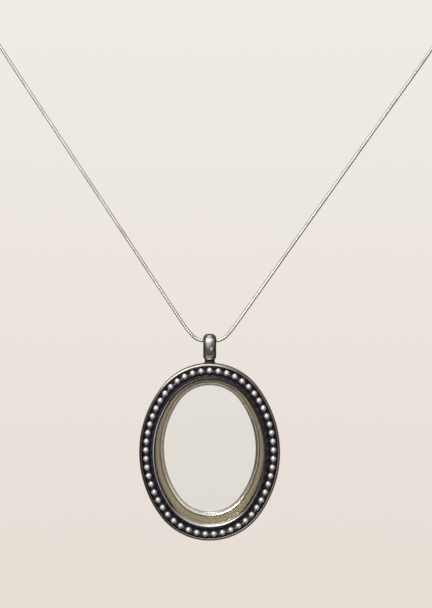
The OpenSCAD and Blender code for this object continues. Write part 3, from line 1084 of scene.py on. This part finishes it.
class LOCKET_OT_case(bpy.types.Operator, RimHalf):
    """Makes the back half of the rim, with its hinge lengths and its eyelet"""

    bl_idname = "locket.case"
    bl_label = "Back case"

    # Bulge, back, ledge and wall
    section = [*arc_points((BULGE_RADIUS, 5.2), BULGE_RADIUS, 198.46, 162, 9, (0.14, 0)),
               *arc_points((1.35, 6.3), 1.3, 143, 90, 9),
               (4.85, 7.6, 0.07), (5.0, 7.45, 0.05), (5.0, 7.15, 0.08), (4.55, 6.75, 0.1),
               (4.3, 6.75), (4.3, 5.95), (3.7, SEAM_BACK, 0.05)]
    finishes = [deep_steel, wall_steel, ledge_steel, rim_steel, slope_steel]
    # The rim's dark steel past an inset of 4.95 is a painted shadow line round the back opening.
    zones = [(rim_steel, (-FAR, 3.0), ANYWHERE), (rim_steel, (4.95, FAR), ANYWHERE),
             (rim_steel, ANYWHERE, (7.3, FAR)), (slope_steel, (4.56, FAR), ANYWHERE),
             (ledge_steel, ANYWHERE, (6, FAR)), (wall_steel, ANYWHERE, ANYWHERE)]
    rooms = [(HINGE_ROOM, -1.38, 1.38), (PIN_ROOM, -3.3, 3.3)]
    lengths = [(-3.1, -1.38), (1.38, 3.1)]

    def execute(self, context):
        bm = self.rim(context)
        self.eyelet(bm)
        finish_piece(bm, "case_rim", self.materials(), "case", ["back_case"])
        return {"FINISHED"}

    def eyelet(self, bm):
        """The ring on top of the case, and the foot that it stands on."""
        # A circle of 24 points: the last lies one step before the first.
        wire = arc_points((EYELET_RADIUS, 0), EYELET_WIRE, 0, 345, 23)
        solid_of_revolution(bm, wire, EYELET_MIDDLE, Y_AXIS, ROUND_STEPS)
        outline = FOOT_OUTLINE + [(-x, z) for x, z in FOOT_OUTLINE[-2::-1]]
        front = [bm.verts.new(EYELET_MIDDLE + Vector((x, -FOOT_THICKNESS / 2, z)))
                 for x, z in outline]
        grown = bmesh.ops.extrude_face_region(bm, geom=[bm.faces.new(front)])["geom"]
        far = [v for v in grown if isinstance(v, bmesh.types.BMVert)]
        bmesh.ops.translate(bm, vec=(0, FOOT_THICKNESS, 0), verts=far)
        edges = {e for v in front + far for e in v.link_edges}
        round_off(bm, list(edges), FOOT_ROUNDING, affect="EDGES")


class LOCKET_OT_lid(bpy.types.Operator, RimHalf):
    """Makes the front half of the rim, with its groove, its crest and its hinge length"""

    bl_idname = "locket.lid"
    bl_label = "Lid"

    # Bulge, groove, crest, slot for the glass and wall
    section = [*arc_points((BULGE_RADIUS, 1.3), BULGE_RADIUS, 161.54, 187.7, 8, (0.14, 0.05)),
               (0.2, 0.42, 0.06),
               *arc_points(GROOVE_CENTRE, GROOVE_RADIUS, 187.86, 0, 30, (0.07, 0.06)),
               *arc_points((3.1, 0.3), 0.3, 195.1, 382.6, 14),
               (3.5, 0.6, 0.04), (3.5, 0.7), (2.7, 0.7), (2.7, 1.5), (3.5, 1.5, 0.05),
               (3.7, SEAM_FRONT, 0.05)]
    finishes = [dark_steel, wall_steel, lip_steel, rim_steel, flank_steel, edge_steel]
    zones = [(lip_steel, (2.92, 3.16), (-FAR, 0.4)), (flank_steel, (3.16, 3.51), (-FAR, 1.6)),
             (wall_steel, (3.51, FAR), (0.62, FAR)), (dark_steel, (0.85, 3.51), ANYWHERE),
             (edge_steel, (0.42, 0.85), (-FAR, 1.2)), (rim_steel, ANYWHERE, ANYWHERE)]
    rooms = [(HINGE_ROOM, 1.3, 3.18), (HINGE_ROOM, -3.18, -1.3), (PIN_ROOM, -1.5, 1.5)]
    lengths = [(-1.3, 1.3)]

    def execute(self, context):
        bm = self.rim(context)
        finish_piece(bm, "lid_rim", self.materials(), "lid", ["lid_frame"])
        return {"FINISHED"}


class LOCKET_OT_balls(bpy.types.Operator):
    """Sets the border of balls in the lid's groove"""

    bl_idname = "locket.balls"
    bl_label = "Ball border"

    subdivisions = 4

    def execute(self, context):
        sizes = context.scene.locket_sizes
        radius = sizes.ball_diameter / MM / 2
        depth = GROOVE_CENTRE[1] + GROOVE_RADIUS - BALL_GAP - radius
        pitch = 4 * sum(quarter_arcs(GROOVE_CENTRE[0])) / sizes.ball_count
        bm = bmesh.new()
        for i in range(sizes.ball_count):
            x, z = place_on_oval(i * pitch, GROOVE_CENTRE[0])
            place = Matrix.Translation(LOCKET_MIDDLE + Vector((x, depth, z)))
            bmesh.ops.create_icosphere(bm, subdivisions=self.subdivisions, radius=radius,
                                       matrix=place)
        finish_piece(bm, "border_balls", [ball_silver()], "lid",
                     ["bead_border"], sharp_angle=180)
        return {"FINISHED"}


class LOCKET_OT_small_parts(bpy.types.Operator):
    """Finishes the glasses, the magnets and the hinge pin"""

    bl_idname = "locket.small_parts"
    bl_label = "Glass, magnets and pin"

    def execute(self, context):
        glass, plate = plate_glass(), magnet_plate()
        for node, material in (("lid_glass", glass), ("back_glass", glass),
                               ("lid_magnet", plate), ("case_magnet", plate),
                               ("hinge_pin", rim_steel())):
            for slot in frame["nodes"][node].material_slots:
                slot.material = material
        return {"FINISHED"}


class LOCKET_PT_panel(bpy.types.Panel):
    """Lists the locket's pieces, sizes and colours"""

    bl_label = "Locket"
    bl_idname = "LOCKET_PT_panel"
    bl_space_type = "VIEW_3D"
    bl_region_type = "UI"
    bl_category = "Locket"

    def draw(self, context):
        layout = self.layout
        for group in (context.scene.locket_sizes, context.scene.locket_colours):
            box = layout.box()
            for key in group.__annotations__:
                box.prop(group, key)
        for operator in OPERATORS:
            layout.operator(operator.bl_idname)


OPERATORS = (LOCKET_OT_stage, LOCKET_OT_chain, LOCKET_OT_clasp, LOCKET_OT_bail, LOCKET_OT_case,
             LOCKET_OT_lid, LOCKET_OT_balls, LOCKET_OT_small_parts)
CLASSES = (LocketSizes, LocketColours, *OPERATORS, LOCKET_PT_panel)


def register():
    for item in CLASSES:
        bpy.utils.register_class(item)
    bpy.types.Scene.locket_sizes = PointerProperty(type=LocketSizes)
    bpy.types.Scene.locket_colours = PointerProperty(type=LocketColours)


def unregister():
    del bpy.types.Scene.locket_colours
    del bpy.types.Scene.locket_sizes
    for item in reversed(CLASSES):
        bpy.utils.unregister_class(item)


def main():
    for old in list(bpy.data.objects):
        if old.name in ("Cube", "Light", "Camera"):
            bpy.data.objects.remove(old)
    register()
    for step in ("stage", "chain", "clasp", "bail", "case", "lid", "balls", "small_parts"):
        getattr(bpy.ops.locket, step)()
    bpy.context.view_layer.update()


if __name__ == "__main__":
    main()
